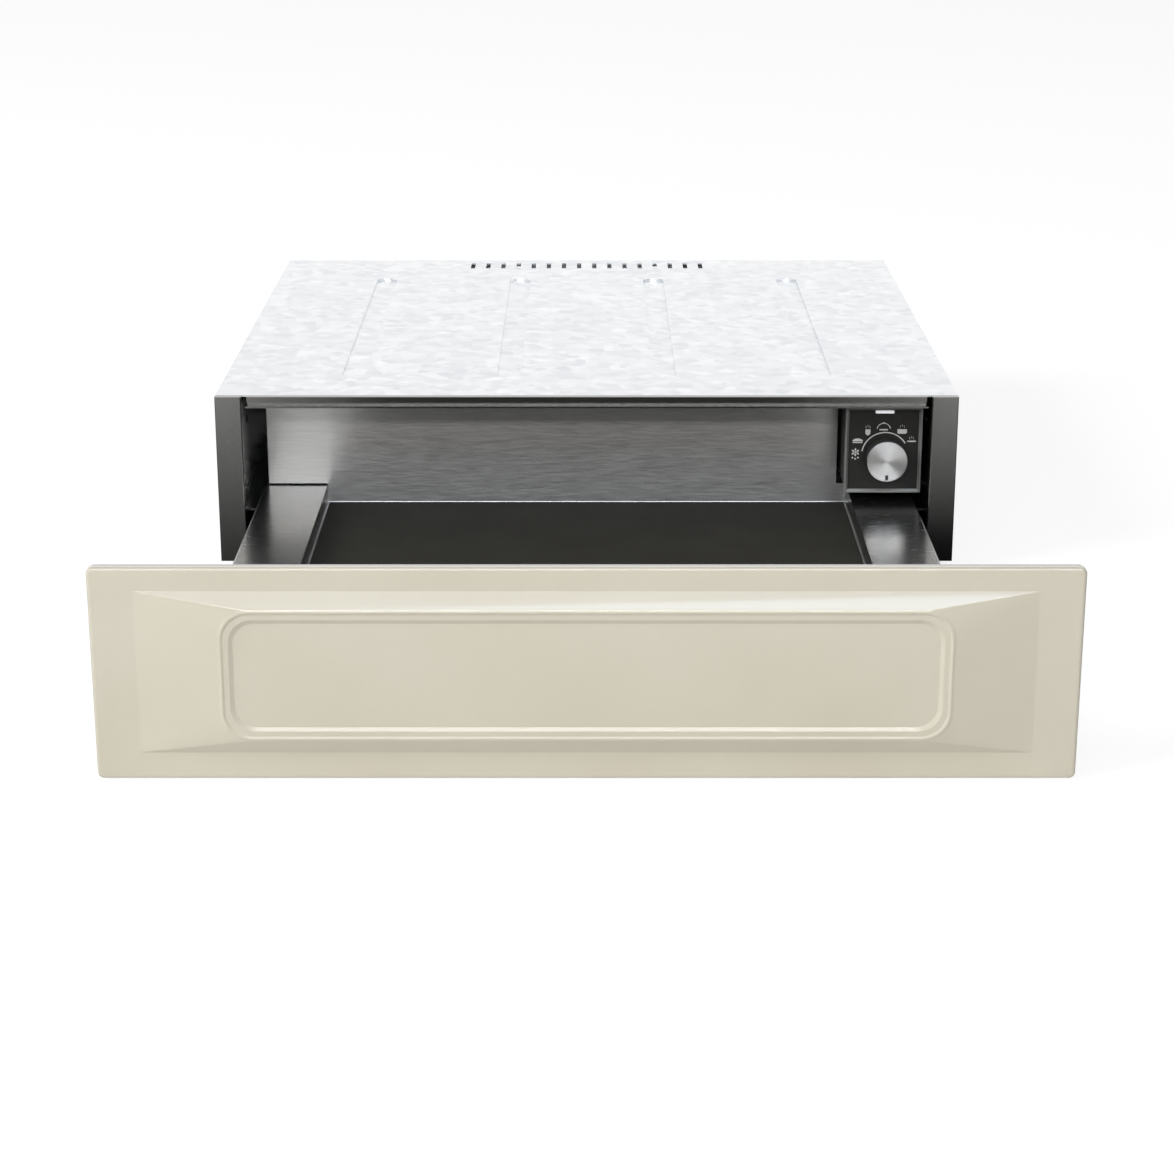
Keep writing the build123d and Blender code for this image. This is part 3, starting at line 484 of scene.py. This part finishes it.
def makeFrontPanel(settings):
    width = (panelHigh.x - panelLow.x) / mm
    height = (panelHigh.z - panelLow.z) / mm
    face = panelLow.y / mm + settings["crestRise"]
    middle = (panelHigh.z + panelLow.z) / 2 / mm
    sheet, corner, edge = settings["sheet"], settings["corner"], settings["edgeRound"]
    depth, lift, rise = settings["depth"], settings["reliefLift"], settings["crestRise"]
    bevelIn, bevelUp = settings["backBevel"]
    flat = edge + settings["edgeFlat"]
    crestWide, crestTall = settings["crestSize"]
    shoulder, shoulderDrop = settings["shoulder"]
    footRound, shoulderRound, crestRound, stepRound = settings["foldRounds"]

    def crestRing(inset, forward, rounding):
        radius = settings["crestCorner"] - inset / 2
        return crestWide - 2 * inset, crestTall - 2 * inset, radius, forward, lift, rounding

    corners = [
        (width - 2 * sheet, height - 2 * sheet, corner - sheet, -depth, 0, 0),
        (width - 2 * bevelIn, height - 2 * bevelIn, corner, -depth, 0, 0),
        (width, height, corner, bevelUp - depth, 0, 0),
        (width, height, corner, 0, 0, edge),
        (width - 2 * flat, height - 2 * flat, corner - flat, 0, 0, 0),
        (*settings["reliefSize"], settings["reliefCorner"], 0, lift, footRound),
        crestRing(0, rise - shoulderDrop, shoulderRound),
        crestRing(shoulder, rise, crestRound),
    ]
    insets = settings["stepInsets"]
    level = rise
    for start, end, drop in zip(insets[::2], insets[1::2], settings["stepDrops"]):
        corners += [crestRing(start, level, stepRound), crestRing(end, level - drop, stepRound)]
        level -= drop
    corners.append(crestRing(insets[-1] + settings["centreMargin"], level, 0))
    mesh = bmesh.new()
    loops = []
    for ring in roundedProfile(corners, settings["roundPoints"]):
        outline = roundedRing(ring[0], ring[1], ring[2], settings["cornerPoints"])
        loops.append([mesh.verts.new((x * mm, (face - ring[3]) * mm, (middle + ring[4] + z) * mm))
                      for x, z in outline])
    for a, b in zip(loops, loops[1:]):
        for i in range(len(a)):
            j = (i + 1) % len(a)
            mesh.faces.new((a[i], b[i], b[j], a[j]))
    mesh.faces.new(loops[-1])
    # inside of the turned edge, back to the sheet
    inner = [mesh.verts.new((v.co.x, v.co.y - (depth - sheet) * mm, v.co.z)) for v in loops[0]]
    for i in range(len(inner)):
        j = (i + 1) % len(inner)
        mesh.faces.new((inner[i], loops[0][i], loops[0][j], inner[j]))
    mesh.faces.new(list(reversed(inner)))
    bmesh.ops.recalc_face_normals(mesh, faces=mesh.faces)
    data = bpy.data.meshes.new("enamelFront")
    mesh.to_mesh(data)
    mesh.free()
    return finishPiece("enamelFront", data, materials["enamel"], sharpAngle=40.0)


front = makeFrontPanel(frontSettings)
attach(front, "drawer")
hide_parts("front_panel")
print("front panel made")

# dial print: flat ink on the fascia, drawn in millimetres from the middle of its arc

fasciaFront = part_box("control_fascia")[0].y
dialSettings = {
    "middle": (226.15, 86.25),  # x and z of the arc's middle
    "ink": 0.06,                # thickness of the print
    "arcRadius": 17.7,
    "arcFrom": 31.5,            # degrees, anticlockwise from the right
    "arcTo": 170.0,
    "line": 0.85,
    "thinLine": 0.56,
    "wisp": 0.28,               # width of a wisp of steam
    "wispHeight": 2.1,
    "wispSway": 0.3,
    "wispStarts": ((-1.5, 0.0), (0.0, 0.7), (1.5, 0.0)),      # the middle one starts higher
    "icons": {                  # places from the arc's middle
        "snowflake": (-22.4, 2.3),
        "bread": (-20.9, 10.8),
        "cup": (-13.4, 18.7),
        "cover": (-1.5, 20.3),
        "bowl": (12.5, 18.6),
        "plate": (19.9, 10.8),
    },
}


def arcPoints(centre, radius, start, end, count, flatten=1.0):
    points = []
    for i in range(count + 1):
        angle = math.radians(start + (end - start) * i / count)
        points.append((centre[0] + radius * math.cos(angle), centre[1] + flatten * radius * math.sin(angle)))
    return points


def stroke(points, width):
    # the outline of a line of even width through the points
    left, right = [], []
    for i, point in enumerate(points):
        before, after = points[max(i - 1, 0)], points[min(i + 1, len(points) - 1)]
        along = Vector((after[0] - before[0], after[1] - before[1])).normalized() * (width / 2)
        left.append((point[0] - along.y, point[1] + along.x))
        right.append((point[0] + along.y, point[1] - along.x))
    return left + right[::-1]


def rectangle(x, z, width, height):
    return [(x - width / 2, z), (x + width / 2, z), (x + width / 2, z + height), (x - width / 2, z + height)]


def steam(z, settings):
    # three short wavy wisps that rise from height z
    wisps = []
    for x, lift in settings["wispStarts"]:
        path = []
        for k in range(6):
            sway = settings["wispSway"] * math.sin(k * 1.3)
            path.append((x + sway, z + lift + settings["wispHeight"] * k / 5))
        wisps.append(stroke(path, settings["wisp"]))
    return wisps


def snowflakeShapes(settings):
    shapes = []
    for i in range(6):
        angle = math.radians(90 + 60 * i)
        out, side = Vector((math.cos(angle), math.sin(angle))), Vector((-math.sin(angle), math.cos(angle)))
        arm = ((0.7, 0.0), (2.1, -0.75), (3.4, 0.0), (2.1, 0.75))
        shapes.append([tuple(out * r + side * w) for r, w in arm])
    shapes.append(arcPoints((0, 0), 0.6, 0, 330, 11))
    for x, z in ((-2.1, -4.3), (0.0, -5.2), (2.1, -4.3)):
        shapes.append(arcPoints((x, z), 0.65, 0, 330, 11))
    return shapes


def breadShapes(settings):
    crust = arcPoints((0, 0), 4.0, 0, 180, 16, 0.55)
    return [crust, rectangle(0, -1.3, 7.4, 0.8)]


def cupShapes(settings):
    cup = [(-1.9, -2.0), (0.0, -3.6), (1.9, -2.0), (1.9, 1.4), (-1.9, 1.4)]
    return [cup] + steam(2.1, settings)


def coverShapes(settings):
    dome = stroke(arcPoints((0, -0.2), 5.0, 5, 175, 20, 0.95), settings["thinLine"])
    handle = arcPoints((0, 4.6), 1.2, 0, 180, 10, 0.6)
    return [dome, handle, rectangle(0, -1.0, 6.4, 1.1)]


def bowlShapes(settings):
    bowl = [(-2.6, -1.9), (2.6, -1.9), (3.6, -1.2), (3.6, 1.7), (-3.6, 1.7), (-3.6, -1.2)]
    return [bowl] + steam(2.7, settings)


def plateShapes(settings):
    return [rectangle(0, -0.5, 6.6, 1.0)] + steam(1.4, settings)


def makeDialPrint(settings):
    makers = {"snowflake": snowflakeShapes, "bread": breadShapes, "cup": cupShapes, "cover": coverShapes,
              "bowl": bowlShapes, "plate": plateShapes}
    shapes = [stroke(arcPoints((0, 0), settings["arcRadius"], settings["arcFrom"], settings["arcTo"], 60),
                     settings["line"])]
    for name, (x, z) in settings["icons"].items():
        shapes += [[(x + px, z + pz) for px, pz in outline] for outline in makers[name](settings)]
    middleX, middleZ = settings["middle"]
    inkFront = fasciaFront - settings["ink"] * mm
    mesh = bmesh.new()
    for outline in shapes:
        rear = [mesh.verts.new(((middleX + x) * mm, fasciaFront, (middleZ + z) * mm)) for x, z in outline]
        top = [mesh.verts.new((v.co.x, inkFront, v.co.z)) for v in rear]
        mesh.faces.new(top)
        mesh.faces.new(rear[::-1])
        for i in range(len(rear)):
            j = (i + 1) % len(rear)
            mesh.faces.new((rear[i], rear[j], top[j], top[i]))
    bmesh.ops.triangulate(mesh, faces=[f for f in mesh.faces if len(f.verts) > 4])
    bmesh.ops.recalc_face_normals(mesh, faces=mesh.faces)
    data = bpy.data.meshes.new("dialPrint")
    mesh.to_mesh(data)
    mesh.free()
    return finishPiece("dialPrint", data, materials["ink"])


dialPrint = makeDialPrint(dialSettings)
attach(dialPrint, "carcass")
print("dial print made")

# screw heads: one domed head with a cross recess, put on every place by a node tree, each turned its own way

screwSettings = {
    "carcass_screws": {
        "body": "carcass", "Radius": 3.4, "Height": 1.6, "Recess Width": 0.8, "Recess Depth": 0.8,
        # along the lid's rear edge, then through both side walls into the slide brackets
        "places": [((x, 265.0, 127.0), (0, 1, 0)) for x in (-240.0, -120.0, 120.0, 240.0)]
        + [((side * 278.0, y, 50.5), (side, 0, 0)) for y in (-210.0, 0.0, 190.0) for side in (-1, 1)],
    },
    "drawer_screws": {
        "body": "drawer", "Radius": 3.0, "Height": 1.4, "Recess Width": 0.7, "Recess Depth": 0.7,
        # along the top of the front's lining
        "places": [((x, -664.5, 112.0), (0, 1, 0)) for x in (-240.0, -120.0, 0.0, 120.0, 240.0)],
    },
}
screwSizes = ("Radius", "Height", "Recess Width", "Recess Depth")
headShape = {
    "sides": 40,
    "domeDrop": 0.6,            # share of the height by which the rim lies lower than the middle
    "domePower": 4.0,
    "recessSpan": 1.1,          # length of the cross, as a share of the radius
    "seed": 7,
}


def screwTree(material, shape):
    tree = bpy.data.node_groups.new("screwHeads", "GeometryNodeTree")
    tree.interface.new_socket("Geometry", in_out="OUTPUT", socket_type="NodeSocketGeometry")
    for name in ("Geometry", *screwSizes):
        kind = "NodeSocketGeometry" if name == "Geometry" else "NodeSocketFloat"
        tree.interface.new_socket(name, in_out="INPUT", socket_type=kind)
    given = addNode(tree, "NodeGroupInput")
    radius, height, width, depth = (given.outputs[name] for name in screwSizes)
    blank = addNode(tree, "GeometryNodeMeshCylinder",
                    {"fill_type": "TRIANGLE_FAN", "Vertices": shape["sides"], "Side Segments": 2,
                     "Fill Segments": 8}, {"Radius": radius, "Depth": height})
    # dome: the top falls towards its rim
    place = addNode(tree, "GeometryNodeInputPosition")
    flat = addNode(tree, "ShaderNodeVectorMath", {"operation": "MULTIPLY", 1: (1, 1, 0)},
                   {0: place.outputs["Position"]})
    out = addNode(tree, "ShaderNodeVectorMath", {"operation": "LENGTH"}, {0: flat.outputs["Vector"]})
    share = addNode(tree, "ShaderNodeMath", {"operation": "DIVIDE"}, {0: out.outputs["Value"], 1: radius})
    curve = addNode(tree, "ShaderNodeMath", {"operation": "POWER", 1: shape["domePower"]},
                    {0: share.outputs[0]})
    fall = addNode(tree, "ShaderNodeMath", {"operation": "MULTIPLY", 1: -shape["domeDrop"]}, {0: height})
    drop = addNode(tree, "ShaderNodeMath", {"operation": "MULTIPLY"},
                   {0: curve.outputs[0], 1: fall.outputs[0]})
    down = addNode(tree, "ShaderNodeCombineXYZ", links={"Z": drop.outputs[0]})
    domed = addNode(tree, "GeometryNodeSetPosition",
                    links={"Geometry": blank.outputs["Mesh"], "Selection": blank.outputs["Top"],
                           "Offset": down.outputs[0]})
    # cross recess: two crossed bars sunk into the top
    half = addNode(tree, "ShaderNodeMath", {"operation": "MULTIPLY", 1: 0.5}, {0: height})
    top = addNode(tree, "ShaderNodeCombineXYZ", links={"Z": half.outputs[0]})
    span = addNode(tree, "ShaderNodeMath", {"operation": "MULTIPLY", 1: shape["recessSpan"]}, {0: radius})
    tall = addNode(tree, "ShaderNodeMath", {"operation": "MULTIPLY", 1: 2.0}, {0: depth})
    cut = addNode(tree, "GeometryNodeMeshBoolean", {"operation": "DIFFERENCE", "solver": "EXACT"},
                  {"Mesh 1": domed.outputs["Geometry"]})
    for x, y in ((span.outputs[0], width), (width, span.outputs[0])):
        size = addNode(tree, "ShaderNodeCombineXYZ", links={"X": x, "Y": y, "Z": tall.outputs[0]})
        bar = addNode(tree, "GeometryNodeMeshCube", links={"Size": size.outputs[0]})
        sunk = addNode(tree, "GeometryNodeTransform",
                       links={"Geometry": bar.outputs["Mesh"], "Translation": top.outputs[0]})
        tree.links.new(sunk.outputs["Geometry"], cut.inputs["Mesh 2"])
    head = addNode(tree, "GeometryNodeTransform",
                   links={"Geometry": cut.outputs["Mesh"], "Translation": top.outputs[0]})
    # one head on each point, standing on the sheet and turned at random
    facing = addNode(tree, "GeometryNodeInputNamedAttribute", {"data_type": "FLOAT_VECTOR", "Name": "facing"})
    stand = addNode(tree, "FunctionNodeAlignRotationToVector", {"axis": "Z"},
                    {"Vector": facing.outputs["Attribute"]})
    turn = addNode(tree, "FunctionNodeRandomValue",
                   {"data_type": "FLOAT", 2: 0.0, 3: math.pi / 2, "Seed": shape["seed"]})
    spin = addNode(tree, "FunctionNodeAxisAngleToRotation", {"Axis": (0, 0, 1)}, {"Angle": turn.outputs[1]})
    turned = addNode(tree, "FunctionNodeRotateRotation", {"rotation_space": "LOCAL"},
                     {"Rotation": stand.outputs[0], "Rotate By": spin.outputs[0]})
    heads = addNode(tree, "GeometryNodeInstanceOnPoints",
                    links={"Points": given.outputs["Geometry"], "Instance": head.outputs["Geometry"],
                           "Rotation": turned.outputs[0]})
    real = addNode(tree, "GeometryNodeRealizeInstances", links={"Geometry": heads.outputs["Instances"]})
    done = addNode(tree, "GeometryNodeSetMaterial", {"Material": material},
                   {"Geometry": real.outputs["Geometry"]})
    addNode(tree, "NodeGroupOutput", links={"Geometry": done.outputs["Geometry"]})
    return tree


def makeScrews(name, settings, tree):
    points = bpy.data.meshes.new(name + "Places")
    places, facings = zip(*settings["places"])
    points.from_pydata([[c * mm for c in place] for place in places], [], [])
    directions = points.attributes.new("facing", "FLOAT_VECTOR", "POINT")
    for direction, facing in zip(directions.data, facings):
        direction.vector = facing
    carrier = bpy.data.objects.new(name + "Places", points)
    bpy.context.scene.collection.objects.link(carrier)
    modifier = carrier.modifiers.new("screwHeads", "NODES")
    modifier.node_group = tree
    for socket in tree.interface.items_tree:
        if socket.in_out == "INPUT" and socket.name in screwSizes:
            modifier[socket.identifier] = settings[socket.name] * mm
    seen = carrier.evaluated_get(bpy.context.evaluated_depsgraph_get())
    mesh = bpy.data.meshes.new_from_object(seen)
    carrier.modifiers.remove(modifier)
    bpy.data.objects.remove(carrier)
    bpy.data.meshes.remove(points)
    mesh.name = name
    return finishPiece(name, mesh, materials["zinc"], sharpAngle=35.0)


headTree = screwTree(materials["zinc"], headShape)
for nodeName, screws in screwSettings.items():
    piece = makeScrews("screwHeads_" + screws["body"], screws, headTree)
    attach(piece, screws["body"])
    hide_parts(nodeName)
    print("screws made:", nodeName, len(piece.data.polygons), "faces")

# switch button: its inner end stops short of the floor of its bore when it is pushed in

buttonSettings = {
    "room": 0.2,
    "endDepth": 0.05,           # points within this of the inner end belong to it
    "merge": 0.001,
}


def makeButton(settings):
    mesh = bmesh.new()
    mesh.from_mesh(nodes["switch_button"].data)
    bmesh.ops.remove_doubles(mesh, verts=mesh.verts, dist=settings["merge"] * mm)
    end = max(v.co.y for v in mesh.verts)
    for v in mesh.verts:
        if v.co.y > end - settings["endDepth"] * mm:
            v.co.y -= settings["room"] * mm
    data = bpy.data.meshes.new("switchButton")
    mesh.to_mesh(data)
    mesh.free()
    return finishPiece("switchButton", data, materials["red"])


button = makeButton(buttonSettings)
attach(button, "switch_button")
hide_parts("switch_button")
print("switch button made")
